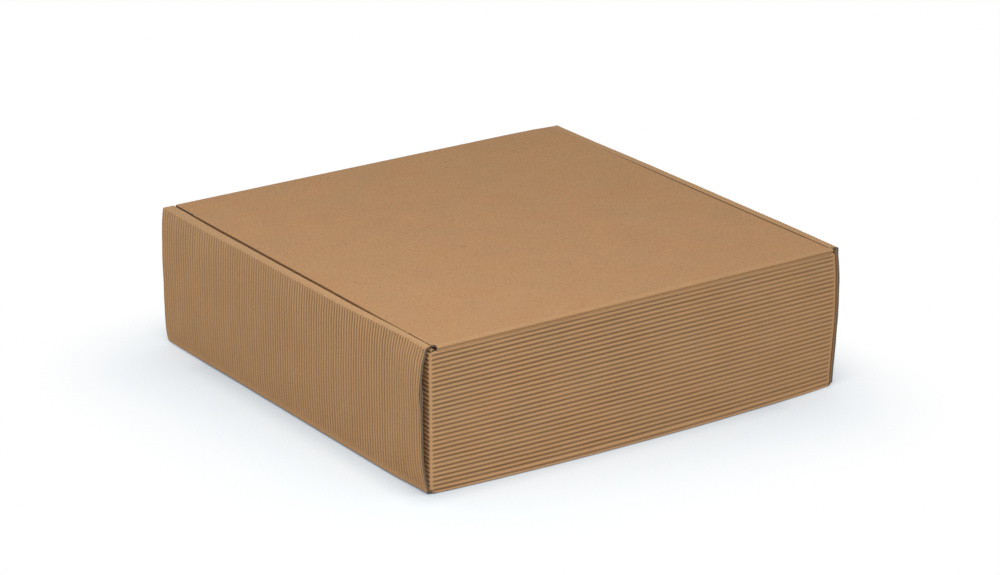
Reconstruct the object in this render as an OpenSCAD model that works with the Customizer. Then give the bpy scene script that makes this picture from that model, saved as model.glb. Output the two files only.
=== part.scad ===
// Closed mailing box folded from one sheet of ribbed corrugated board.
// Origin: centre of the underside. +Z up, the hinge wall faces -Y, the lid's free edge is at +Y.

/* [Box] */
// Width over the side walls at their creases, along the hinge
box_w = 340; // [260:1:440]
// Depth from the hinge wall's face to the front wall's face
box_d = 335; // [260:1:440]
// Height over the closed lid
box_h = 101.5; // [80:0.5:150]

/* [Board] */
// Thickness of the board over its ribs
board_t = 1.8; // [1.5:0.1:2.4]
// Distance from one rib to the next
rib_pitch = 3.1; // [2.6:0.1:6]
// Depth of the grooves between the ribs
rib_depth = 1; // [0.4:0.1:1.2]
// Width of a rib's flat top
rib_top_w = 0.9; // [0.4:0.1:1.2]
// Width of a groove's flat floor
groove_floor_w = 0.7; // [0.3:0.1:1.2]
// Plain strip beside a crease, where the ribs are pressed out
crease_land = 0.8; // [0.6:0.1:4]

/* [Side walls] */
// Clear space on each side of an end flap trapped in a side wall
flap_gap = 1.5; // [1:0.1:3]
// How far the outer side panels bow out at half height
wall_bow = 4; // [1:0.1:6]
// Length of the end flaps along the side walls
flap_l = 110; // [60:1:125]
// Space from an end flap's top and bottom edges to the rim and the base
flap_edge_gap = 0.6; // [0.3:0.1:2]
// Space from the inner panels to the hinge and front walls
end_gap = 0.6; // [0.3:0.1:2]
// Space from the outer side panels' cut edges to the box's corner lines
panel_setback = 0.5; // [0:0.1:2]

/* [Base locks] */
// Length of each locking tab on the inner panels
tab_l = 32; // [15:1:60]
// Distance between the middles of the two tabs on one side
tab_spacing = 170; // [90:1:180]
// Clear space round a tab in its slot, and under an inner panel
tab_gap = 0.4; // [0.3:0.1:1]
// How far a tab's end stays above the underside
tab_recess = 0.3; // [0.1:0.1:1]

/* [Lid] */
// Step from the closed lid's top down to the rims
rim_drop = 0.8; // [0:0.1:2]
// Space from the lid's sides to the rims
side_gap = 0.8; // [0.5:0.1:2]
// Space between the lid and the hinge wall along the hinge crease, measured level
hinge_gap = 0.45; // [0.4:0.05:0.8]
// How far the lid's front edge stays behind the front wall's face
nose_setback = 0.3; // [0:0.1:1]
// Space from the lid's underside to the front wall's top edge
front_gap = 1.6; // [1.4:0.1:3]
// Length of the tuck flap
tuck_l = 48; // [25:1:55]
// Space from the front wall's inner face to the top of the tuck flap
tuck_gap = 1.4; // [1.2:0.1:3]
// Drop of the tuck flap's rounded fold below the lid's underside
tuck_fold_h = 1; // [0.6:0.1:1.2]
// Lean of the tuck flap away from the front wall, so that it swings out freely
tuck_lean = 6; // [5.5:0.5:12]
// Radius of the tuck flap's lower corners
tuck_corner_r = 16; // [4:1:24]
// Space from the tuck flap's ends to the side ears
tuck_side_gap = 2; // [1:0.5:10]
// Height of the side ears
ear_h = 60; // [35:1:70]
// Distance from the hinge wall's face to the side ears
ear_back = 30; // [12:1:60]
// Distance from the front wall's face to the side ears
ear_front = 26; // [20:1:60]
// Radius of the side ears' lower corners
ear_corner_r = 22; // [5:1:30]

/* [Hidden] */
half_w = box_w / 2;
half_d = box_d / 2;
overlap = 0.2;
through = 10;
crease_lap = board_t / 3;
count_slack = 0.01;

// Heights
rim_top = box_h - rim_drop;
lid_under = box_h - board_t;
flap_z0 = board_t + flap_edge_gap;
flap_z1 = rim_top - board_t - flap_edge_gap;
front_top = lid_under - front_gap;

// Distances from the middle, across the box
rim_w = 3 * board_t + 2 * flap_gap;
flap_x = half_w - board_t - flap_gap;
inner_x = half_w - rim_w;
lid_x = inner_x - side_gap;
ear_in_x = lid_x - board_t;

// Distances from the middle, from front to back
panel_y = half_d - panel_setback;
inner_y = half_d - board_t - end_gap;
tuck_y = half_d - board_t - tuck_gap;

// Bow of the outer side panels: an arc that ends a little inside both creases
bow_chord = rim_top / 2 - board_t + crease_lap;
bow_r = (bow_chord * bow_chord + wall_bow * wall_bow) / (2 * wall_bow);
bow_angle = asin(bow_chord / bow_r);
bow_axis_x = half_w + wall_bow - bow_r;

// Ribs: half the width of a groove at its top and at its floor
groove_half = (rib_pitch - rib_top_w) / 2;
floor_half = groove_floor_w / 2;
level_phase = box_h / 2;
upright_phase = rib_pitch / 2;

function groove_points(middle) = [
    [middle - groove_half, 0],
    [middle - floor_half, rib_depth],
    [middle + floor_half, rib_depth],
    [middle + groove_half, 0]
];

// Section across a ribbed panel from a to b: [along the panel, in from the rib tops].
// Grooves sit at phase plus whole pitches, and mitre shortens the inner face at b.
// The slack keeps a groove that just fits.
function panel_points(a, b, phase, mitre = 0) =
    let (
        edge = crease_land + rib_pitch / 2,
        first = ceil((a + edge - phase) / rib_pitch - count_slack),
        last = floor((b - edge - phase) / rib_pitch + count_slack)
    )
    concat(
        [[a, board_t], [a, 0]],
        [for (k = [first : last]) each groove_points(phase + k * rib_pitch)],
        [[b, 0], [b - mitre, board_t]]
    );

// Panel with level ribs, facing -Y, its face in the plane Y = 0
module level_panel(width, a, b, mitre = 0) {
    rotate([0, -90, 0])
        linear_extrude(width, center = true)
            polygon(panel_points(a, b, level_phase, mitre));
}

// Rounded outer side of a crease, along +Z, for board to its +X and +Y
module fold(length) {
    linear_extrude(length, center = true)
        intersection() {
            circle(board_t, $fn = 48);
            translate([-board_t, -board_t])
                square(board_t);
        }
}

// Crease along X under a wall that faces -Y
module bottom_fold_x(length) {
    translate([0, board_t - half_d, board_t])
        rotate([90, 0, 90])
            fold(length);
}

// End flap of a wall that faces -Y, folded back along the side wall at -X
module end_flap() {
    translate([-flap_x, board_t - half_d, 0])
        rotate([0, -90, -90])
            linear_extrude(flap_l)
                polygon(panel_points(flap_z0, flap_z1, level_phase));
    translate([board_t - flap_x, board_t - half_d, (flap_z0 + flap_z1) / 2])
        fold(flap_z1 - flap_z0);
}

module end_flaps() {
    end_flap();
    mirror([1, 0, 0])
        end_flap();
}

module hinge_wall() {
    difference() {
        translate([0, -half_d, 0])
            level_panel(2 * (flap_x - board_t), board_t, box_h, board_t);
        for (side = [-1, 1])
            translate([side * (inner_x + half_w) / 2, -half_d, flap_z1 + through / 2])
                cube([half_w - inner_x, through, through], center = true);
    }
    bottom_fold_x(2 * (flap_x - board_t));
    end_flaps();
}

module front_wall() {
    mirror([0, 1, 0]) {
        translate([0, -half_d, 0])
            level_panel(2 * (flap_x - board_t), board_t, front_top);
        bottom_fold_x(2 * (flap_x - board_t));
        end_flaps();
    }
}

// Bowed outer panel at -X with upright ribs, as a turn about an axis along Y
module outer_panel() {
    translate([-bow_axis_x, 0, rim_top / 2])
        rotate([90, 0, 0])
            rotate([0, 0, 180 - bow_angle])
                rotate_extrude(angle = 2 * bow_angle, $fn = 240)
                    polygon([
                        for (p = panel_points(-panel_y, panel_y, upright_phase))
                            [bow_r - p[1], p[0]]
                    ]);
}

// Rim rolled over the top of the side wall at -X, flutes pressed flat
module rim() {
    translate([-(half_w + inner_x) / 2, 0, rim_top - board_t / 2])
        cube([rim_w - 2 * board_t, 2 * inner_y, board_t], center = true);
    translate([board_t - half_w, 0, rim_top - board_t])
        rotate([-90, 0, 0])
            fold(2 * inner_y);
    translate([-inner_x - board_t, 0, rim_top - board_t])
        mirror([1, 0, 0])
            rotate([-90, 0, 0])
                fold(2 * inner_y);
}

// Inner panel at -X, its ribs towards the inside of the box
module inner_panel() {
    foot = board_t + tab_gap;
    translate([0, 0, foot])
        linear_extrude(rim_top - board_t - foot)
            polygon([
                for (p = panel_points(-inner_y, inner_y, upright_phase))
                    [-inner_x - p[1], p[0]]
            ]);
    for (y = [-tab_spacing / 2, tab_spacing / 2])
        translate([-inner_x - board_t, y - tab_l / 2, tab_recess])
            cube([board_t - rib_depth, tab_l, foot - tab_recess + overlap]);
}

module side_wall() {
    outer_panel();
    rim();
    inner_panel();
    translate([board_t - half_w, 0, board_t])
        rotate([90, 0, 0])
            fold(2 * (half_d - board_t));
}

module tab_slot() {
    translate([-inner_x - board_t - tab_gap, -tab_l / 2 - tab_gap, -through / 2])
        cube([board_t - rib_depth + 2 * tab_gap, tab_l + 2 * tab_gap, through]);
}

module base() {
    difference() {
        translate([board_t - half_w, board_t - half_d, 0])
            cube([box_w - 2 * board_t, box_d - 2 * board_t, board_t]);
        for (side = [0, 1], y = [-tab_spacing / 2, tab_spacing / 2])
            mirror([side, 0, 0])
                translate([0, y, 0])
                    tab_slot();
    }
}

module tray() {
    color("#b08a61") {
        base();
        hinge_wall();
        front_wall();
        side_wall();
        mirror([1, 0, 0])
            side_wall();
    }
}

// Lid panel's section from the hinge to the front: [from back to front, height]
module lid_section() {
    nose_r = board_t / 2;
    nose_y = half_d - nose_setback - nose_r;
    polygon([
        [hinge_gap - half_d, box_h],
        [hinge_gap + board_t - half_d, lid_under],
        [nose_y, lid_under],
        [nose_y, box_h]
    ]);
    translate([nose_y, lid_under + nose_r])
        circle(nose_r, $fn = 48);
}

// Extrudes a section of [from back to front, height] along X
module across(width) {
    rotate([90, 0, 90])
        linear_extrude(width, center = true)
            children();
}

module tuck_section() {
    fold_y = half_d - nose_setback - board_t / 2;
    top = lid_under - tuck_fold_h;
    tip_y = tuck_y - tuck_l * sin(tuck_lean);
    tip_z = top - tuck_l * cos(tuck_lean);
    in_y = board_t * cos(tuck_lean);
    in_z = board_t * sin(tuck_lean);
    root = (lid_under + overlap - tip_z - in_z) * tan(tuck_lean);
    polygon([
        [fold_y, lid_under + overlap],
        [fold_y, lid_under],
        [tuck_y, top],
        [tip_y, tip_z],
        [tip_y - in_y, tip_z + in_z],
        [tip_y - in_y + root, lid_under + overlap]
    ]);
}

module tuck_flap() {
    tuck_x = ear_in_x - tuck_side_gap;
    corner_z = lid_under - tuck_l + tuck_corner_r;
    intersection() {
        across(2 * tuck_x)
            tuck_section();
        translate([0, half_d, 0])
            rotate([90, 0, 0])
                linear_extrude(tuck_l)
                    union() {
                        translate([-tuck_x, corner_z])
                            square([2 * tuck_x, tuck_l]);
                        translate([tuck_corner_r - tuck_x, corner_z - tuck_corner_r - through])
                            square([2 * (tuck_x - tuck_corner_r), tuck_corner_r + 2 * through]);
                        for (side = [-1, 1])
                            translate([side * (tuck_x - tuck_corner_r), corner_z])
                                circle(tuck_corner_r, $fn = 72);
                    }
    }
}

// Side ear at -X, hanging from the lid's side crease
module ear() {
    y0 = ear_back - half_d;
    y1 = half_d - ear_front;
    z0 = box_h - ear_h;
    translate([-lid_x, 0, 0])
        rotate([90, 0, 90])
            linear_extrude(board_t)
                union() {
                    translate([y0, z0 + ear_corner_r])
                        square([y1 - y0, lid_under - z0 - ear_corner_r]);
                    translate([y0 + ear_corner_r, z0])
                        square([y1 - y0 - 2 * ear_corner_r, ear_h / 2]);
                    for (y = [y0 + ear_corner_r, y1 - ear_corner_r])
                        translate([y, z0 + ear_corner_r])
                            circle(ear_corner_r, $fn = 72);
                }
    translate([board_t - lid_x, (y0 + y1) / 2, lid_under])
        rotate([-90, 0, 0])
            fold(y1 - y0);
    translate([-lid_x, -half_d, lid_under])
        intersection() {
            union() {
                cube([2 * board_t, ear_back, board_t]);
                translate([0, box_d - ear_front, 0])
                    cube([2 * board_t, ear_front, board_t]);
            }
            translate([board_t, half_d, -lid_under])
                across(2 * board_t)
                    lid_section();
        }
}

module lid() {
    color("#b78f66") {
        across(2 * ear_in_x)
            lid_section();
        tuck_flap();
        ear();
        mirror([1, 0, 0])
            ear();
    }
}

tray();
lid();
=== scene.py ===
"""Looks of the closed mailing box: every board is a creased sheet with its own ribs, folds and cut edges."""

import math

import bpy
import numpy as np
from mathutils import Matrix, Vector


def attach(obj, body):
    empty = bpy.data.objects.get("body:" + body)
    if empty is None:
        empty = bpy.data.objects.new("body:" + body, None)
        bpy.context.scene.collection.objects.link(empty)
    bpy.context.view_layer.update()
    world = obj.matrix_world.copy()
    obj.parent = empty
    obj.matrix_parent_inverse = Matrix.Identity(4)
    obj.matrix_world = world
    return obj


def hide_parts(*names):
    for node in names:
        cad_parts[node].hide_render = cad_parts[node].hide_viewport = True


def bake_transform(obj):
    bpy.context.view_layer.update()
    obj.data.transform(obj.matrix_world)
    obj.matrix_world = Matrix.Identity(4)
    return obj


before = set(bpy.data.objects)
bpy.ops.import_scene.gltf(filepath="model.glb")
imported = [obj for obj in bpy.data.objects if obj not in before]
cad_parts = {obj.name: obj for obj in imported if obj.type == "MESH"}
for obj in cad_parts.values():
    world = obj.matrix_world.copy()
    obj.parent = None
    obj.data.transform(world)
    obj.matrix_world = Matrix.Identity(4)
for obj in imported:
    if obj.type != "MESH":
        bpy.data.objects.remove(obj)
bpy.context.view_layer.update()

MM = 0.001
T = 1.8  # board thickness over its ribs
T_LID = 1.5  # pressed board of the lid
PITCH = 3.12  # from rib to rib
DEPTH = 1.0  # of a groove
R = 2.0  # outer radius of a fold
R_BASE = 1.0  # and where the end walls meet the base
TOP = 101.5
NEAR, FAR = -167.5, 167.5
LEFT, RIGHT = -1, 1
TOP_GROOVE = 95.62  # height of the highest full groove on the hinge wall
WALL_HALF = 166.7  # half the width of the hinge wall and the front wall
END_FLAP = 110.0  # length of their end flaps
FOLD_SAVING = R * 0.21  # half of what a rounded fold saves on its sharp corner
FOOT = 2.4  # height at which flaps and inner panels end over the base
PANEL_IN = 161.6  # inner face of a side wall's inner panel
TAB_Y, TAB_HALF, TAB_GAP = 85.0, 16.0, 0.4  # middle, half length and clearance of the locking tabs
LID_LEFT, LID_RIGHT = -161.7, 163.4
TUCK, EAR = 48.0, 58.0  # how far the tuck flap and the side ears reach
EAR_NEAR, EAR_FAR = NEAR + 30.0, FAR - 26.0
EAR_SLIT = 1.2  # cut between an ear and the rest of the lid's side


# ---------------------------------------------------------------- small maths

def smooth(x, a, b):
    """0 before a, 1 after b, with soft ends."""
    t = np.clip((np.asarray(x, float) - a) / (b - a), 0, 1)
    return t * t * (3 - 2 * t)


def table(x, xs, ys):
    """Values between given points, rounded at the points."""
    fine = np.linspace(xs[0], xs[-1], 241)
    raw = np.interp(fine, xs, ys)
    step = fine[1] - fine[0]
    half = int(0.05 * (xs[-1] - xs[0]) / step)
    kernel = np.hanning(2 * half + 3)
    padded = np.concatenate([np.full(half + 1, raw[0]), raw, np.full(half + 1, raw[-1])])
    return np.interp(x, fine, np.convolve(padded, kernel / kernel.sum(), "valid"))


def waves(seed, x, lengths=(310.0, 120.0, 47.0), sizes=(1.0, 0.5, 0.25)):
    """A smooth, repeatable wander along x, about -1 to 1."""
    rng = np.random.default_rng(seed)
    total = np.zeros_like(np.asarray(x, float))
    for length, size in zip(lengths, sizes):
        total = total + size * np.sin(2 * math.pi * (x / length + rng.random()))
    return total / sum(sizes)


def path(points, radii, gap=8.0, arc=7):
    """Plane line through points, with each inner corner rounded by its radius. Gives points and lengths."""
    points = [np.array(p, float) for p in points]
    line = [points[0]]
    for k in range(1, len(points) - 1):
        a, b, c = points[k - 1], points[k], points[k + 1]
        u, v = (b - a) / np.linalg.norm(b - a), (c - b) / np.linalg.norm(c - b)
        turn = math.atan2(u[0] * v[1] - u[1] * v[0], u @ v)
        r = radii[k - 1]
        reach = r * math.tan(abs(turn) / 2)
        start, side = b - u * reach, math.copysign(1, turn)
        centre = start + side * r * np.array([-u[1], u[0]])
        first = math.atan2(*(start - centre)[::-1])
        for i in range(arc + 1):
            angle = first + turn * i / arc
            line.append(centre + r * np.array([math.cos(angle), math.sin(angle)]))
    line.append(points[-1])
    out = [line[0]]
    for p in line[1:]:
        span = np.linalg.norm(p - out[-1])
        if span < 1e-6:
            continue
        parts = max(1, math.ceil(span / gap))
        start = out[-1]
        out += [start + (p - start) * (i / parts) for i in range(1, parts + 1)]
    out = np.array(out)
    return out, np.concatenate([[0], np.cumsum(np.linalg.norm(np.diff(out, axis=0), axis=1))])


def resample(line, lengths, at):
    """Points of a line at given lengths along it."""
    return np.stack([np.interp(at, lengths, line[:, k]) for k in range(line.shape[1])], 1)


def flutes(across, along, phase=0.0, seed=0, pitch=PITCH):
    """Depth of the grooves, 0 on a rib's top and about 1 in a groove."""
    k = np.round((across - phase) / pitch).astype(int)
    rng = np.random.default_rng(seed)
    low = int(k.min())
    count = int(k.max()) - low + 1
    size = rng.uniform(0.93, 1.05, count)[k - low]
    shift = rng.uniform(-0.06, 0.06, count)[k - low]
    swing = rng.uniform(0, 2 * math.pi, count)[k - low]
    wander = 0.035 * np.sin(along / 21.0 + swing) + 0.03 * np.sin(along / 8.3 + 2.1 * swing)
    size = size * (1 + 0.05 * np.sin(along / 13.0 + 1.7 * swing))
    x = (across - phase - k * pitch - shift - wander) / pitch
    return size * (0.5 + 0.5 * np.cos(2 * math.pi * np.clip(x, -0.5, 0.5))) ** 1.3


# ---------------------------------------------------------------- sheets

def normals(surface):
    """Unit normals of a grid of points."""
    du = np.gradient(surface, axis=0)
    dv = np.gradient(surface, axis=1)
    n = np.cross(du, dv)
    return n / np.maximum(np.linalg.norm(n, axis=2, keepdims=True), 1e-9)


def sheet(name, surface, outward, mask, relief, thickness, uv, painted_shade=None):
    """A board from its outer face, given as a grid of points.

    outward is the side that it faces, mask says which cells stand, relief is how far each point
    is pressed in, and the last argument how much painted shade each point gets in its groove or gap.
    """
    n = normals(surface)
    n = n * math.copysign(1, outward)
    outer = surface - n * relief[..., None]
    inner = surface - n * np.broadcast_to(thickness, surface.shape[:2])[..., None]
    nu, nv = surface.shape[:2]
    index = np.arange(nu * nv).reshape(nu, nv)
    low = nu * nv
    i, j = np.nonzero(mask)
    quads = [np.stack([index[i, j], index[i + 1, j], index[i + 1, j + 1], index[i, j + 1]], 1)]
    inside = quads[0][:, ::-1] + low
    padded = np.pad(mask, 1)

    def rim(first, second, one, two):
        i, j = np.nonzero(padded[first] & ~padded[second])
        a, b = index[i + one[0], j + one[1]], index[i + two[0], j + two[1]]
        return np.stack([a, b, b + low, a + low], 1)

    here = (slice(1, -1), slice(1, -1))
    rims = [
        rim(here, (slice(1, -1), slice(0, -2)), (1, 0), (0, 0)),
        rim(here, (slice(1, -1), slice(2, None)), (0, 1), (1, 1)),
        rim(here, (slice(0, -2), slice(1, -1)), (0, 0), (0, 1)),
        rim(here, (slice(2, None), slice(1, -1)), (1, 1), (1, 0)),
    ]
    border = np.concatenate(rims)
    faces = np.concatenate([quads[0], inside, border])
    if outward < 0:
        faces = faces[:, ::-1]
    kind = np.repeat([0, 1, 2], [len(i), len(i), len(border)])
    points = np.concatenate([outer.reshape(-1, 3), inner.reshape(-1, 3)])
    flat = np.concatenate([uv.reshape(-1, 2), uv.reshape(-1, 2)])
    dark = np.zeros(len(points))
    if painted_shade is not None:
        dark[:low] = painted_shade.ravel()
    used, back = np.unique(faces, return_inverse=True)
    faces = back.reshape(faces.shape)
    mesh = bpy.data.meshes.new(name)
    mesh.vertices.add(len(used))
    mesh.vertices.foreach_set("co", (points[used] * MM).ravel())
    mesh.loops.add(faces.size)
    mesh.loops.foreach_set("vertex_index", faces.ravel().astype(np.int32))
    mesh.polygons.add(len(faces))
    mesh.polygons.foreach_set("loop_start", np.arange(0, faces.size, 4, dtype=np.int32))
    mesh.polygons.foreach_set("material_index", kind.astype(np.int32))
    mesh.polygons.foreach_set("use_smooth", np.ones(len(faces), bool))
    layer = mesh.uv_layers.new(name="board")
    layer.data.foreach_set("uv", (flat[used] * MM)[faces.ravel()].ravel())
    attribute = mesh.attributes.new("groove", "FLOAT", "POINT")
    attribute.data.foreach_set("value", dark[used].astype(np.float32))
    attribute = mesh.attributes.new("depth", "FLOAT", "POINT")
    attribute.data.foreach_set("value", (used >= low).astype(np.float32))
    mesh.update(calc_edges=True)
    mesh.validate()
    mesh.set_sharp_from_angle(angle=math.radians(50))
    thing = bpy.data.objects.new(name, mesh)
    bpy.context.scene.collection.objects.link(thing)
    return thing


def dress(thing, body, materials):
    """Gives a piece its materials (outer face, inner face, cut edge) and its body."""
    for m in materials:
        thing.data.materials.append(m)
    if body:
        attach(thing, body)
    return thing


# ---------------------------------------------------------------- shape of this box

def hinge_wall_bow(x, z):
    """How far the hinge wall stands out at its middle, most at the base."""
    across = np.clip(1 - (x / WALL_HALF) ** 2, 0, 1)
    bow = 5.3 * across * np.clip((86 - z) / 83.5, 0, 1.02) ** 1.05
    foot = 1.5 * across ** 0.6 * (1 - smooth(z, 0.5, 5))
    return bow + foot


# outer side of each outer side panel by height, at its near end, in the middle and at its far end
LEVELS = [0, 10, 25, 45, 60, 80, 92, 101]
WALL_SECTIONS = {
    LEFT: (
        ([0, 5, 11, 19, 29, 39, 50, 60, 70, 78, 86, 95, 101],
         [168.2, 169.6, 171.0, 172.2, 172.9, 173.2, 173.4, 173.8, 174.2, 174.1, 173.3, 172.0, 170.9]),
        (LEVELS, [170.2, 171.0, 171.5, 171.7, 171.6, 171.3, 170.7, 170.0]),
        ([0, 4, 9, 23, 38, 54, 69, 84, 93, 101],
         [170.6, 171.3, 172.1, 172.8, 173.1, 173.2, 173.1, 172.9, 172.6, 172.0]),
    ),
    RIGHT: (
        ([0, 7, 14, 21, 29, 36, 43, 50, 58, 73, 80, 88, 95, 101],
         [168.5, 168.9, 169.4, 169.9, 170.5, 171.1, 171.7, 172.1, 172.1, 172.1, 171.9, 171.4, 170.6, 169.9]),
        (LEVELS, [169.9, 171.0, 172.2, 172.9, 173.0, 172.3, 171.5, 170.9]),
        (LEVELS, [170.0, 171.0, 172.0, 172.5, 172.5, 171.9, 171.2, 170.6]),
    ),
}


def wall_out(side, y, z):
    """Outer side of a side wall's outer panel, from the middle of the box."""
    near, middle, far = (table(z, *section) for section in WALL_SECTIONS[side])
    a = 1 - smooth(y, NEAR + 1, NEAR + 45)
    b = smooth(y, FAR - 110, FAR)
    return near * a + far * b + middle * (1 - a - b)


def rim_height(side, y):
    """Height of the rim rolled over a side wall."""
    if side == LEFT:
        return 100.75 + 0.12 * waves(4, y) + 1.1 * smooth(y, 100, 165) + 0.95 * smooth(-y, 60, 135)
    return 100.7 + 0.15 * waves(6, y) + 0.95 * (1 - smooth(y, 40, 140)) + 0.25 * smooth(-y, 0, 160)


def crease_out(side, y):
    """Outer side of the rim's crease."""
    if side == LEFT:
        return 170.0 + 1.6 * smooth(y, 60, 167) - 1.0 * smooth(-y, 60, 135) + 0.8 * smooth(-y, 145, 167)
    return 170.9 - 0.6 * smooth(-y, 100, 160)


def rim_in(side, y):
    """Inner face of the inner panel at its top."""
    if side == LEFT:
        return 162.4 + 0.55 * smooth(-y, 30, 110)
    return np.full_like(y, 164.0)


def lid_lift(x, y):
    """How far the lid stands above the hinge crease's height."""
    back = smooth(y, NEAR + 3, NEAR + 45)
    t = (y - NEAR) / (FAR - NEAR)
    left = smooth(-x, -160, 160)
    sag = 0.25 * np.sin(math.pi * np.clip(t, 0, 1)) * np.cos(math.pi * x / 330)
    low = 0.3 * smooth(x, 110, 160) * smooth(y, -150, 0)
    return back * (t * (0.25 + 0.35 * left) + 0.15) - sag - low


# ---------------------------------------------------------------- hinge wall and front wall

def end_wall(name, front):
    """Hinge wall at -Y with both end flaps, or the front wall, which is turned round to +Y."""
    top, flap_top = (98.1, 95.0) if front else (98.3, 97.9)
    rows = np.arange(0, 1.0001, 1 / 9.0)
    z_groove = TOP_GROOVE + PITCH * (1.5 - np.arange(33))
    ribbed = (z_groove[:, None] - PITCH * rows[None, :]).ravel()
    ys = np.unique(np.round(np.concatenate([ribbed, [top, R_BASE]]), 4))
    ys = ys[(ys >= R_BASE) & (ys <= top)]
    drop = np.concatenate([-(math.pi / 2 * R_BASE) * (1 - np.linspace(0, 1, 8)[:-1]), ys - R_BASE])
    z = np.where(drop > 0, drop + R_BASE, R_BASE - R_BASE * np.sin(np.clip(-drop / R_BASE, 0, math.pi / 2)))
    back = np.where(drop > 0, 0, R_BASE - R_BASE * np.cos(np.clip(-drop / R_BASE, 0, math.pi / 2)))
    end = NEAR + END_FLAP
    plan, lengths = path(
        [(-WALL_HALF, end), (-WALL_HALF, NEAR), (WALL_HALF, NEAR), (WALL_HALF, end)], [R, R], gap=4.0, arc=9)
    # extra points where ribs die out at the folds
    fold_a, fold_b = END_FLAP - FOLD_SAVING, lengths[-1] - END_FLAP + FOLD_SAVING
    beside = np.array([-7, -5.5, -4.5, -3.5, -2.8, 2.8, 3.5, 4.5, 5.5, 7])
    extra = np.concatenate([f + beside for f in (fold_a, fold_b)])
    at = np.unique(np.round(np.concatenate([lengths, extra]), 4))
    plan = resample(plan, lengths, at)
    u = at - at[-1] / 2
    n_u, n_v = len(at), len(z)
    x = np.repeat(plan[:, :1], n_v, 1)
    y = np.repeat(plan[:, 1:], n_v, 1)
    zz = np.repeat(z[None, :], n_u, 0)
    side = np.repeat(back[None, :], n_u, 0)
    face = np.abs(u)[:, None] < WALL_HALF - R
    y = y + np.where(face, side, 0)
    if not front:
        # the right end presses against the side wall's bow
        room = wall_out(RIGHT, NEAR, zz) - T - 0.5 - WALL_HALF
        x = x + np.clip(room, 0, 4) * smooth(x, 90, 166) * smooth(-y, 120, 160)
        y = y - hinge_wall_bow(x, zz) * smooth(-y, 60, 166)
        y = y + 0.15 * waves(2, x * 1.3 + zz) * smooth(-y, 120, 166)
    else:
        bow = 2.0 * np.clip(1 - (x / WALL_HALF) ** 2, 0, 1) * np.sin(math.pi * zz / 100)
        y = y - bow * smooth(-y, 60, 166)
        y = y + 0.3 * waves(9, x + zz) * smooth(-y, 120, 166)
    surface = np.stack([x, y, zz], 2)
    # ribs, pressed flat at the folds
    across, along = np.meshgrid(z, u)
    distance = np.abs(np.abs(along) - (WALL_HALF - FOLD_SAVING))
    on_face = np.abs(along) < WALL_HALF
    fade = np.where(on_face, smooth(distance, 0.7, 3.2), smooth(distance, 0.4, 1.6))
    fade = fade * smooth(across, R_BASE - 0.3, R_BASE + 1.2)
    if not front:
        fade = fade * (1 - 0.16 * smooth(along, -60, 160))
    groove = flutes(across, along, phase=TOP_GROOVE, seed=3 if front else 1)
    relief = DEPTH * (groove * fade) + 0.3 * (1 - fade) * smooth(across, 0.3, R)
    relief = relief + 0.05 * waves(5, along + 3 * across, (23.0, 9.0, 4.0)) * fade
    # cuts
    mid_u = (along[:-1, :-1] + along[1:, 1:]) / 2
    mid_z = (zz[:-1, :-1] + zz[1:, 1:]) / 2
    mid_v = (drop[:-1] + drop[1:]) / 2
    mask = np.ones((n_u - 1, n_v - 1), bool)
    past = np.abs(mid_u) > WALL_HALF - R - 2.0
    mask &= ~(past & (mid_v[None, :] < 0))
    flaps = np.abs(mid_u) > WALL_HALF - R
    mask &= ~(flaps & (mid_z < FOOT))
    mask &= ~(flaps & (mid_z > flap_top))
    if front:
        surface = surface * np.array([-1, -1, 1])
    uv = np.stack([along, across], 2)
    # the grooves get painted shade in the colour as well as their relief
    return sheet(name, surface, 1, mask, relief, T, uv, groove * fade)


# ---------------------------------------------------------------- side walls

BASE_FOLD, PANEL, TOP_FOLD, RIM, INNER_FOLD, INNER_PANEL = range(6)


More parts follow.
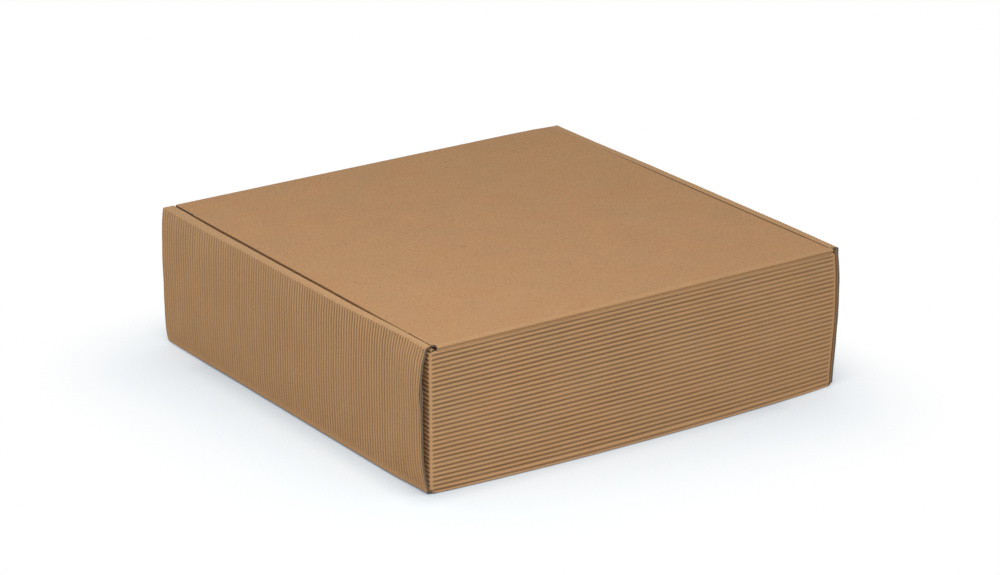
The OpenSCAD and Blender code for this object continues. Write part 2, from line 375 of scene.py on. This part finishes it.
def side_wall(name, side):
    """Outer panel, rim and inner panel with its tabs, as one section carried along the wall."""
    step = PITCH / 7
    y = np.arange(-167.0, 167.01, step)
    n_y = len(y)
    base = wall_out(side, y, 0 * y)
    top, inner = rim_height(side, y), rim_in(side, y)
    r_top = 1.3
    r_in = 0.5
    crease = crease_out(side, y)
    sections, kinds, spans = [], [], []

    def add(a, z, kind, v):
        a, z = np.broadcast_arrays(a, z)
        sections.append(np.stack([a, z], 2))
        kinds.append(np.full(a.shape[1], kind))
        spans.append(v)

    # base crease
    t = np.linspace(0, math.pi / 2, 6)[None, :]
    add(base[:, None] - R + R * np.sin(t), R - R * np.cos(t), BASE_FOLD, R * t[0])
    # outer panel
    s = np.linspace(0, 1, 25)[None, 1:-1]
    z = R + ((top - r_top)[:, None] - R) * s
    a = wall_out(side, np.repeat(y[:, None], z.shape[1], 1), z)
    blend = smooth(s, 0.93, 1.0)
    a = a * (1 - blend) + crease[:, None] * blend
    add(a, z, PANEL, R * math.pi / 2 + 97 * s[0])
    # top crease
    t = np.linspace(0, math.pi / 2, 8)[None, :]
    c, h = crease[:, None] - r_top, top[:, None] - r_top
    add(c + r_top * np.cos(t), h + r_top * np.sin(t), TOP_FOLD, 100.0 + r_top * t[0])
    # rim
    s = np.linspace(0, 1, 9)[None, 1:-1]
    a = c + (inner[:, None] + r_in - c) * s
    crown = 0.1 * np.sin(math.pi * s) - 0.22 * np.exp(-((s - 0.5) / 0.13) ** 2)
    add(a, top[:, None] + crown, RIM, 103.0 + 4 * s[0])
    # inner crease
    t = np.linspace(0, math.pi / 2, 5)[None, :]
    a, z = inner[:, None] + r_in - r_in * np.sin(t), top[:, None] - r_in + r_in * np.cos(t)
    add(a, z, INNER_FOLD, 108.0 + r_in * t[0])
    # inner panel and its tabs
    z = np.array([99.0, 97.0, 93.0, 84, 72, 60, 44, 28, 14, 5.0, FOOT, 0.4])[None, :]
    lean = PANEL_IN + (inner[:, None] - PANEL_IN) * smooth(z, 20, 99)
    add(lean + 0 * z, z + 0 * inner[:, None], INNER_PANEL, 110 + 97 - z[0])
    line = np.concatenate(sections, 1)
    kind = np.concatenate(kinds)
    span = np.concatenate(spans)
    surface = np.stack([side * line[..., 0], np.repeat(y[:, None], line.shape[1], 1), line[..., 1]], 2)
    wobble = 0.3 * waves(11 + side, y[:, None] + 2.2 * line[..., 1], (140.0, 60.0, 33.0))
    panel = (kind == PANEL)[None, :]
    body = panel * smooth(line[..., 1], 4, 30) * (1 - smooth(line[..., 1], 75, 95))
    surface[..., 0] += side * wobble * body
    thick = np.full(surface.shape[:2], T)
    if side == LEFT:
        # the near cut edge is burst open at one place
        burst = np.exp(-((line[..., 1] - 70.5) / 6.5) ** 2) * panel
        surface[..., 0] -= 0.9 * burst * np.exp(-((y[:, None] - NEAR) / 4.0) ** 2)
        thick = thick + 1.6 * burst * np.exp(-((y[:, None] - NEAR) / 2.5) ** 2)
    # relief
    across = surface[..., 1]
    along = np.repeat(span[None, :], n_y, 0)
    height = surface[..., 2]
    strength = np.where(panel, smooth(height, 2.0, 4.5), 0.0)
    at_fold = (0.95 if side == LEFT else 0.45) - 0.3 * smooth(along, 100.0, 102.0)
    strength = np.where((kind == TOP_FOLD)[None, :], at_fold, strength)
    strength = np.where((kind == RIM)[None, :], 0.15 + 0.4 * (1 - smooth(along, 103.0, 105.5)), strength)
    strength = np.where((kind == INNER_FOLD)[None, :], 0.2, strength)
    strength = np.where((kind == INNER_PANEL)[None, :], 0.3 + 0.7 * smooth(-height, -97, -90), strength)
    ends = smooth(across, -167.0, -165.6) * smooth(-across, -167.0, -165.6)
    strength = strength * (1.24 - 0.40 * smooth(across, -60, 160))
    groove = flutes(across, along, phase=0.6, seed=21 + side) * strength * (0.4 + 0.6 * ends)
    relief = DEPTH * groove + 0.15 * (1 - strength) * np.isin(kind, [TOP_FOLD, RIM, INNER_FOLD])[None, :]
    relief = relief + 0.04 * waves(17 + side, across + 2 * along, (19.0, 7.0, 3.5))
    # cuts
    mid_y = (y[:-1] + y[1:])[:, None] / 2
    k = np.maximum(kind[:-1], kind[1:])[None, :]
    mid_z = (surface[:-1, :-1, 2] + surface[1:, 1:, 2]) / 2
    mid_x = np.abs(surface[:-1, :-1, 0] + surface[1:, 1:, 0]) / 2
    mask = np.ones((n_y - 1, len(kind) - 1), bool)
    mask &= ~((k == BASE_FOLD) & (np.abs(mid_y) > 165.8))
    mask &= ~((k >= RIM) & (mid_y < NEAR + 0.6 + 0.5 * (169.2 - mid_x)))
    mask &= ~((k >= INNER_PANEL) & (np.abs(mid_y) > 165.0))
    low = (k == INNER_PANEL) & (mid_z < FOOT)
    tab = np.abs(np.abs(mid_y) - TAB_Y) < TAB_HALF
    mask &= ~(low & ~tab)
    # shade in the gap beside the lid, less where it closes towards the hinge
    shade = np.where((kind == INNER_FOLD)[None, :], smooth(along, 108.0, 108.3), 0.0)
    shade = np.where((kind == INNER_PANEL)[None, :], smooth(height, 92.0, 97.0), shade)
    if side == LEFT:
        shade = shade * (1 - 0.8 * smooth(-across, 60, 140))
    uv = np.stack([along, across], 2)
    outward = -1 if side == LEFT else 1
    # grooves and the gap beside the lid get painted shade in the colour
    return sheet(name, surface, outward, mask, relief, thick, uv, np.maximum(groove, shade))


# ---------------------------------------------------------------- base

def base_plate(name):
    """Base with its four tab slots, following the bows of the walls."""
    half, slot_x, slot_half = 168.0, 163.2, 1.0
    slot_end = TAB_HALF + TAB_GAP
    sides = [s * v for s in (-1, 1) for v in (slot_x - slot_half, slot_x + slot_half)]
    xs = np.unique(np.round(np.concatenate([np.linspace(-1, 1, 61) * half, sides]), 4))
    ends = [s * v for s in (-1, 1) for v in (TAB_Y - slot_end, TAB_Y + slot_end)]
    ys = np.unique(np.round(np.concatenate([np.linspace(-1, 1, 81) * (FAR - R_BASE), ends]), 4))
    x, y = np.meshgrid(xs, ys, indexing="ij")
    reach = np.where(x < 0, wall_out(LEFT, y, 0 * y), wall_out(RIGHT, y, 0 * y)) - R
    x2 = x * (1 + (reach / half - 1) * smooth(np.abs(x), 130, half))
    y2 = y - hinge_wall_bow(x, 0.0 * x) * smooth(-y, 60, FAR - R_BASE)
    surface = np.stack([x2, y2, np.zeros_like(x)], 2)
    mid_x = (x[:-1, :-1] + x[1:, 1:]) / 2
    mid_y = (y[:-1, :-1] + y[1:, 1:]) / 2
    slot = (np.abs(np.abs(mid_y) - TAB_Y) < slot_end) & (np.abs(np.abs(mid_x) - slot_x) < slot_half)
    relief = np.zeros_like(x)
    uv = np.stack([x, y], 2)
    return sheet(name, surface, -1, ~slot, relief, T, uv)


# ---------------------------------------------------------------- lid

def corner(depth, full, radius):
    """How far a flap's edge draws in near its end, for a round corner."""
    into = np.clip((depth - (full - radius)) / radius, 0, 1)
    return radius * (1 - np.sqrt(1 - into ** 2 * 0.9999))


def lid_sheet(name):
    """Lid panel with its side ears and tuck flap."""
    # front to back: hinge, top, rounded nose, tuck flap
    lean = math.radians(6)
    line, lengths = path(
        [
            (NEAR + 3.8, TOP),
            (FAR - 0.3, TOP),
            (FAR - 0.3, TOP - 2.8),
            (FAR - 3.1, TOP - 4.0),
            (FAR - 3.1 - TUCK * math.sin(lean), TOP - 4.0 - TUCK * math.cos(lean)),
        ],
        [1.6, 1.5, 0.5],
        gap=3.9,
        arc=7,
    )
    begin = -(NEAR + 3.8)
    at = np.unique(np.round(np.concatenate([
        lengths, np.array([EAR_NEAR - EAR_SLIT, EAR_NEAR, EAR_FAR, EAR_FAR + EAR_SLIT]) + begin]), 4))
    line = resample(line, lengths, at)
    yv, zv = line[:, 0], line[:, 1]
    top_end = begin + FAR - 2.0
    # across: ear, lid, ear
    r = 0.7
    plan, plan_len = path(
        [(LID_LEFT, -EAR), (LID_LEFT, 0), (LID_RIGHT, 0), (LID_RIGHT, -EAR)], [r, r], gap=4.2, arc=8
    )
    start = EAR - r
    arc_len = r * math.pi / 2
    first = start + arc_len  # where the lid's flat begins on the left
    last = plan_len[-1] - start - arc_len
    # extra points where the lid turns into its ears
    turns = [first - arc_len - 2.0, last + arc_len + 2.0, first - r, last + r, first - 0.4, last + 0.4]
    flat_at = np.unique(np.round(np.concatenate([plan_len, turns]), 4))
    bent = resample(plan, plan_len, flat_at)
    flat_x = np.where(flat_at < first, LID_LEFT + r - (first - flat_at), np.where(
        flat_at > last, LID_RIGHT - r + (flat_at - last), bent[:, 0]))
    nu, nv = len(flat_at), len(at)
    is_ear = ((at >= begin + EAR_NEAR) & (at <= begin + EAR_FAR))[None, :]
    beyond = ((flat_at < first) | (flat_at > last))[:, None]
    x = np.where(is_ear & beyond, bent[:, :1], flat_x[:, None])
    drop = np.where(is_ear & beyond, bent[:, 1:], 0.0)
    y = np.repeat(yv[None, :], nu, 0)
    ear_mid, ear_half = (EAR_NEAR + EAR_FAR) / 2, (EAR_FAR - EAR_NEAR) / 2
    inset = corner(-drop, EAR, 22.0)
    y = np.where(is_ear & beyond, ear_mid + (y - ear_mid) * (ear_half - inset) / ear_half, y)
    drawn = 2.6 * smooth(at, begin + FAR, begin + FAR + 3) + corner(at - at[-1] + 60.0, 60.0, 16.0)
    x = np.where(beyond, x, x * (1 - drawn[None, :] / LID_RIGHT))
    z = np.repeat(zv[None, :], nu, 0) + drop
    z = z + lid_lift(x, np.clip(y, NEAR, FAR)) * smooth(drop, -40, -2)
    # the gap beside the left rim closes towards the hinge
    x = x - 0.7 * smooth(-x, 120, 161) * smooth(-y, 20, 150)
    # soft free corner
    z = z - 0.5 * smooth(y, 150, FAR) * smooth(x, 146, 163)
    ends = smooth(x, 158, LID_RIGHT) + 0.6 * smooth(-x, 158, -LID_LEFT)
    y = y - 1.2 * smooth(y, 166, FAR) * ends * smooth(drop, -3, 0)
    surface = np.stack([x, y, z], 2)
    along = np.repeat(flat_at[:, None] - (first + last) / 2, nv, 1)
    across = np.repeat(at[None, :], nu, 0)
    mid_s = ((flat_at[:-1] + flat_at[1:]) / 2)[:, None]
    mid_t = ((at[:-1] + at[1:]) / 2)[None, :]
    mask = np.ones((nu - 1, nv - 1), bool)
    # plain side edges outside the ears
    in_ear = (mid_t > begin + EAR_NEAR) & (mid_t < begin + EAR_FAR)
    outside = (mid_s < first) | (mid_s > last)
    over = (mid_s < first - r) | (mid_s > last + r)
    mask &= ~(over & ~in_ear)
    slit = ((mid_t > begin + EAR_NEAR - EAR_SLIT) & (mid_t < begin + EAR_NEAR)) | (
        (mid_t > begin + EAR_FAR) & (mid_t < begin + EAR_FAR + EAR_SLIT))
    mask &= ~(slit & outside)
    mask &= ~((mid_t > top_end) & outside)
    relief = 0.05 + 0.012 * waves(31, along + across * 0.7, (90.0, 41.0, 17.0))
    uv = np.stack([along, across], 2)
    # shade in the gap beside the rim
    shade = np.where(is_ear & beyond, smooth(-drop, 0.35, 0.7) * smooth(drop, -9, -5), 0.0)
    shade = shade * np.where(x < 0, 1 - 0.8 * smooth(-y, 60, 140), 0.8)
    return sheet(name, surface, 1, mask, relief, T_LID, uv, shade)


def hinge_skin(name):
    """The crease between hinge wall and lid, one soft fold."""
    line, lengths = path([(NEAR, 98.25), (NEAR, TOP), (NEAR + 3.9, TOP)], [1.5], gap=0.35, arc=10)
    x = np.linspace(-160.3, 165.2, 150)
    surface = np.stack([
        np.repeat(x[:, None], len(line), 1),
        np.repeat(line[None, :, 0], len(x), 0),
        np.repeat(line[None, :, 1], len(x), 0),
    ], 2)
    across = np.repeat(lengths[None, :], len(x), 0)
    along = np.repeat(x[:, None], len(line), 1)
    groove = np.exp(-(((across - 0.95 - 0.12 * waves(41, along)) / 0.62) ** 2))
    relief = 0.5 * groove * (1 + 0.25 * waves(43, along)) + 0.03
    mask = np.ones((len(x) - 1, len(line) - 1), bool)
    uv = np.stack([along, 100 + across], 2)
    # the crease's shallow groove gets painted shade in the colour
    return sheet(name, surface, 1, mask, relief, 1.55, uv, 0.8 * groove)


def curl(name, x, z, width):
    """The open, curled end of a pressed crease, seen in a corner hole."""
    n_turn, n_y = 16, 8
    turn = np.linspace(-0.5, 3.6, n_turn)[:, None]
    y = np.linspace(NEAR + 0.9, NEAR + 7.0, n_y)[None, :]
    size = width * (1 - 0.05 * (y - NEAR))
    surface = np.stack(np.broadcast_arrays(
        x + size * np.cos(turn), y + 0.0 * turn, z + 0.75 * size * np.sin(turn)), 2)
    relief = 0.1 * waves(51, surface[..., 0] + surface[..., 1], (5.0, 3.0, 1.7))
    uv = np.stack([surface[..., 0], 200 + surface[..., 1]], 2)
    return sheet(name, surface, 1, np.ones((n_turn - 1, n_y - 1), bool), relief, 0.35, uv)


# ---------------------------------------------------------------- materials

def kraft(name, colour, fleck=1.0, groove_dark=0.35, rough=0.82, bump=0.5, edge=False):
    """Board: fibres and flecks on a colour, with painted shade in grooves and gaps. edge adds the layers of
    a cut.
    """
    m = bpy.data.materials.new(name)
    m.use_nodes = True
    nodes, links = m.node_tree.nodes, m.node_tree.links
    nodes.clear()

    def node(kind, **values):
        n = nodes.new(kind)
        for key, value in values.items():
            if hasattr(n, key):
                setattr(n, key, value)
            else:
                n.inputs[key].default_value = value
        return n

    out = node("ShaderNodeOutputMaterial")
    shader = node("ShaderNodeBsdfPrincipled")
    shader.inputs["Roughness"].default_value = rough
    shader.inputs["Specular IOR Level"].default_value = 0.22
    links.new(shader.outputs[0], out.inputs["Surface"])
    board = node("ShaderNodeUVMap", uv_map="board")

    def noise(scale, detail, stretch=(1, 1, 1), turn=0.0):
        place = node("ShaderNodeMapping")
        place.inputs["Scale"].default_value = stretch
        place.inputs["Rotation"].default_value = (0, 0, turn)
        links.new(board.outputs["UV"], place.inputs["Vector"])
        n = node("ShaderNodeTexNoise")
        n.inputs["Scale"].default_value = scale
        n.inputs["Detail"].default_value = detail
        n.inputs["Roughness"].default_value = 0.6
        links.new(place.outputs[0], n.inputs["Vector"])
        return n.outputs["Fac"]

    def ramp(value, points):
        n = node("ShaderNodeMapRange")
        n.inputs["From Min"].default_value = points[0]
        n.inputs["From Max"].default_value = points[1]
        n.inputs["To Min"].default_value = points[2]
        n.inputs["To Max"].default_value = points[3]
        links.new(value, n.inputs["Value"])
        return n.outputs["Result"]

    def maths(kind, a, b):
        n = node("ShaderNodeMath")
        n.operation = kind
        for k, v in enumerate((a, b)):
            if hasattr(v, "is_output"):
                links.new(v, n.inputs[k])
            else:
                n.inputs[k].default_value = v
        return n.outputs[0]

    mottle = ramp(noise(38, 3), (0.3, 0.7, 0.975, 1.025))
    cloud = ramp(noise(9, 2), (0.3, 0.7, 0.985, 1.015))
    grain = ramp(noise(900, 2), (0.25, 0.75, 1 - 0.05 * fleck, 1 + 0.05 * fleck))
    fibre_a = ramp(noise(1500, 2, (0.12, 1, 1), 0.5), (0.6, 0.78, 1.0, 1 + 0.10 * fleck))
    fibre_b = ramp(noise(1300, 2, (1, 0.14, 1), -0.4), (0.6, 0.78, 1.0, 1 - 0.13 * fleck))
    speck = ramp(noise(420, 1), (0.68, 0.80, 1.0, 1 - 0.04 * fleck))
    level = maths("MULTIPLY", maths("MULTIPLY", mottle, cloud), maths("MULTIPLY", grain, speck))
    level = maths("MULTIPLY", level, maths("MULTIPLY", fibre_a, fibre_b))
    # painted shade: the colour darkens where grooves and gaps are marked
    groove = node("ShaderNodeAttribute", attribute_name="groove")
    painted_shade = ramp(groove.outputs["Fac"], (0.2, 1.0, 1.0, 1 - groove_dark))
    level = maths("MULTIPLY", level, painted_shade)
    if edge:
        depth = node("ShaderNodeAttribute", attribute_name="depth")
        ragged = maths("ADD", depth.outputs["Fac"], maths("MULTIPLY", noise(260, 2), 0.35))
        wave = maths("SINE", maths("MULTIPLY", ragged, 12.6), 0)
        level = maths("MULTIPLY", level, ramp(wave, (-1, 1, 0.35, 1.15)))
    tint = node("ShaderNodeRGB")
    tint.outputs[0].default_value = (*colour, 1)
    # soft patches a little redder or yellower
    hue = node("ShaderNodeMix")
    hue.data_type = "RGBA"
    hue.inputs["A"].default_value = (0.985, 1.008, 1.03, 1)
    hue.inputs["B"].default_value = (1.02, 0.992, 0.965, 1)
    links.new(ramp(noise(26, 3), (0.35, 0.65, 0.0, 1.0)), hue.inputs["Factor"])
    toned = node("ShaderNodeVectorMath")
    toned.operation = "MULTIPLY"
    links.new(tint.outputs[0], toned.inputs[0])
    links.new(hue.outputs["Result"], toned.inputs[1])
    scale = node("ShaderNodeVectorMath")
    scale.operation = "SCALE"
    links.new(toned.outputs[0], scale.inputs[0])
    links.new(level, scale.inputs["Scale"])
    links.new(scale.outputs[0], shader.inputs["Base Color"])
    height = maths("ADD", noise(700, 3), maths("MULTIPLY", noise(1600, 2, (0.2, 1, 1), 0.3), 0.6))
    bumped = node("ShaderNodeBump")
    bumped.inputs["Strength"].default_value = bump
    bumped.inputs["Distance"].default_value = 0.00012
    links.new(height, bumped.inputs["Height"])
    links.new(bumped.outputs[0], shader.inputs["Normal"])
    return m


WALL = (0.436, 0.259, 0.128)
LID = (0.410, 0.229, 0.107)
wall = kraft("kraft_walls", WALL, fleck=1.8, groove_dark=0.5)
lid_mat = kraft("kraft_lid", LID, fleck=4.5, groove_dark=0.5)
crease = kraft("kraft_crease", (0.418, 0.240, 0.114), fleck=2.5, groove_dark=0.5)
liner = kraft("kraft_liner", (0.42, 0.245, 0.12), groove_dark=0.0)
# darker copy of the cut edge for the right wall, whose edge stands in shade: painted shade
painted_shade_cut = kraft("kraft_painted_shade_edge", (0.13, 0.115, 0.10), fleck=1.6, groove_dark=0.0, rough=0.95)
cut = kraft(
    "kraft_cut_edge", (0.19, 0.142, 0.098), fleck=1.6, groove_dark=0.0, rough=0.95, bump=0.9, edge=True)

# ---------------------------------------------------------------- build

tray_pieces = [
    end_wall("hinge_wall", False),
    end_wall("front_wall", True),
    side_wall("side_wall_left", LEFT),
    side_wall("side_wall_right", RIGHT),
    base_plate("base"),
    curl("curl_left", -162.9, 98.2, 1.5),
    curl("curl_right", 166.9, 98.4, 1.3),
]
for piece in tray_pieces:
    dress(piece, "tray", [wall, liner, painted_shade_cut if piece.name == "side_wall_right" else cut])
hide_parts("tray")
lid = dress(lid_sheet("lid_panel"), "lid", [lid_mat, liner, cut])
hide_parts("lid")
skin = dress(hinge_skin("hinge_crease"), None, [crease, liner, cut])
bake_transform(skin)

# ---------------------------------------------------------------- floor, light, camera

def vector_maths(operation, first, second=None):
    n = tree.nodes.new("ShaderNodeVectorMath")
    n.operation = operation
    tree.links.new(first, n.inputs[0])
    if second is not None:
        n.inputs[1].default_value = second
    return n


def soft_range(value, low, high, to_low=0.0, to_high=1.0):
    n = tree.nodes.new("ShaderNodeMapRange")
    n.interpolation_type = "SMOOTHSTEP"
    for socket, number in zip(("From Min", "From Max", "To Min", "To Max"), (low, high, to_low, to_high)):
        n.inputs[socket].default_value = number
    tree.links.new(value, n.inputs["Value"])
    return n.outputs["Result"]


def background(strength):
    n = tree.nodes.new("ShaderNodeBackground")
    n.inputs["Color"].default_value = (1, 1, 1, 1)
    n.inputs["Strength"].default_value = strength
    return n


floor_mat = bpy.data.materials.new("floor")
floor_mat.use_nodes = True
tree = floor_mat.node_tree
tree.nodes.clear()
out = tree.nodes.new("ShaderNodeOutputMaterial")
diffuse = tree.nodes.new("ShaderNodeBsdfDiffuse")
glow = tree.nodes.new("ShaderNodeEmission")
glow.inputs["Color"].default_value = (0.0, 0.09, 0.17, 1)
rays = tree.nodes.new("ShaderNodeLightPath")
tree.links.new(rays.outputs["Is Camera Ray"], glow.inputs["Strength"])
both = tree.nodes.new("ShaderNodeAddShader")
tree.links.new(diffuse.outputs[0], both.inputs[0])
tree.links.new(glow.outputs[0], both.inputs[1])
# past the shadow the floor runs out into plain white
ground = tree.nodes.new("ShaderNodeNewGeometry")
moved = vector_maths("ADD", ground.outputs["Position"], (0.030, 0.030, 0))
flat = vector_maths("ABSOLUTE", moved.outputs[0])
beside = vector_maths("SUBTRACT", flat.outputs[0], (0.140, 0.1375, 1.0))
outside = vector_maths("MAXIMUM", beside.outputs[0], (0, 0, 0))
reach = vector_maths("LENGTH", outside.outputs[0])
# painted contact shadow: the floor colour darkens next to the box
painted_contact_shadow = soft_range(reach.outputs["Value"], -0.004, 0.022, 0.80, 0.97)
shaded = tree.nodes.new("ShaderNodeVectorMath")
shaded.operation = "SCALE"
shaded.inputs[0].default_value = (0.895, 0.865, 0.82)
tree.links.new(painted_contact_shadow, shaded.inputs["Scale"])
tree.links.new(shaded.outputs[0], diffuse.inputs["Color"])
away = soft_range(reach.outputs["Value"], 0.010, 0.135)
only_seen = tree.nodes.new("ShaderNodeMath")
only_seen.operation = "MULTIPLY"
tree.links.new(away, only_seen.inputs[0])
tree.links.new(rays.outputs["Is Camera Ray"], only_seen.inputs[1])
plain = tree.nodes.new("ShaderNodeEmission")
plain.inputs["Color"].default_value = (1, 1, 1, 1)
plain.inputs["Strength"].default_value = 1.0
fade_out = tree.nodes.new("ShaderNodeMixShader")
tree.links.new(only_seen.outputs[0], fade_out.inputs[0])
tree.links.new(both.outputs[0], fade_out.inputs[1])
tree.links.new(plain.outputs[0], fade_out.inputs[2])
tree.links.new(fade_out.outputs[0], out.inputs["Surface"])
bpy.ops.mesh.primitive_plane_add(size=30, location=(0, 0, -0.0003))
floor = bpy.context.object
floor.name = "floor"
floor.data.materials.append(floor_mat)

world = bpy.data.worlds.new("studio")
bpy.context.scene.world = world
world.use_nodes = True
tree = world.node_tree
tree.nodes.clear()
out = tree.nodes.new("ShaderNodeOutputWorld")
dome = background(0.58)
white = background(1.0)
rays = tree.nodes.new("ShaderNodeLightPath")
mix = tree.nodes.new("ShaderNodeMixShader")
tree.links.new(rays.outputs["Is Camera Ray"], mix.inputs[0])
tree.links.new(dome.outputs[0], mix.inputs[1])
tree.links.new(white.outputs[0], mix.inputs[2])
tree.links.new(mix.outputs[0], out.inputs["Surface"])


def area_light(name, place, target, size, power):
    data = bpy.data.lights.new(name, "AREA")
    data.shape = "RECTANGLE"
    data.size = data.size_y = size
    data.energy = power
    lamp = bpy.data.objects.new(name, data)
    bpy.context.scene.collection.objects.link(lamp)
    lamp.location = place
    lamp.rotation_mode = "QUATERNION"
    lamp.rotation_quaternion = (Vector(target) - Vector(place)).to_track_quat("-Z", "Y")


area_light("overhead", (-0.33, -0.32, 0.80), (-0.1, -0.1, 0), 0.6, 4.2)
area_light("front_fill", (-1.3, -2.2, 0.9), (0, 0, 0.03), 1.2, 12)

AZIMUTH, ELEVATION = math.radians(-34.446), math.radians(20.391)
PICTURE_W, SENSOR_W = 1000, 36
FOCAL = 3723.2  # pixels
DISTANCE, SHIFT_RIGHT, SHIFT_UP = 2.6107, 0.002525, 0.006226
back = Vector((
    math.sin(AZIMUTH) * math.cos(ELEVATION), -math.cos(AZIMUTH) * math.cos(ELEVATION), math.sin(ELEVATION)))
right = Vector((math.cos(AZIMUTH), math.sin(AZIMUTH), 0))
up = back.cross(right)
camera_data = bpy.data.cameras.new("camera")
camera_data.sensor_fit = "HORIZONTAL"
camera_data.sensor_width = SENSOR_W
camera_data.lens = FOCAL * SENSOR_W / PICTURE_W
camera_data.clip_start, camera_data.clip_end = 0.1, 100
camera = bpy.data.objects.new("camera", camera_data)
bpy.context.scene.collection.objects.link(camera)
camera.location = Vector((0, 0, 0.05)) + back * DISTANCE + right * SHIFT_RIGHT + up * SHIFT_UP
camera.rotation_mode = "QUATERNION"
camera.rotation_quaternion = Matrix((right, up, back)).transposed().to_quaternion()
bpy.context.scene.camera = camera

bpy.context.scene.view_settings.view_transform = "Standard"
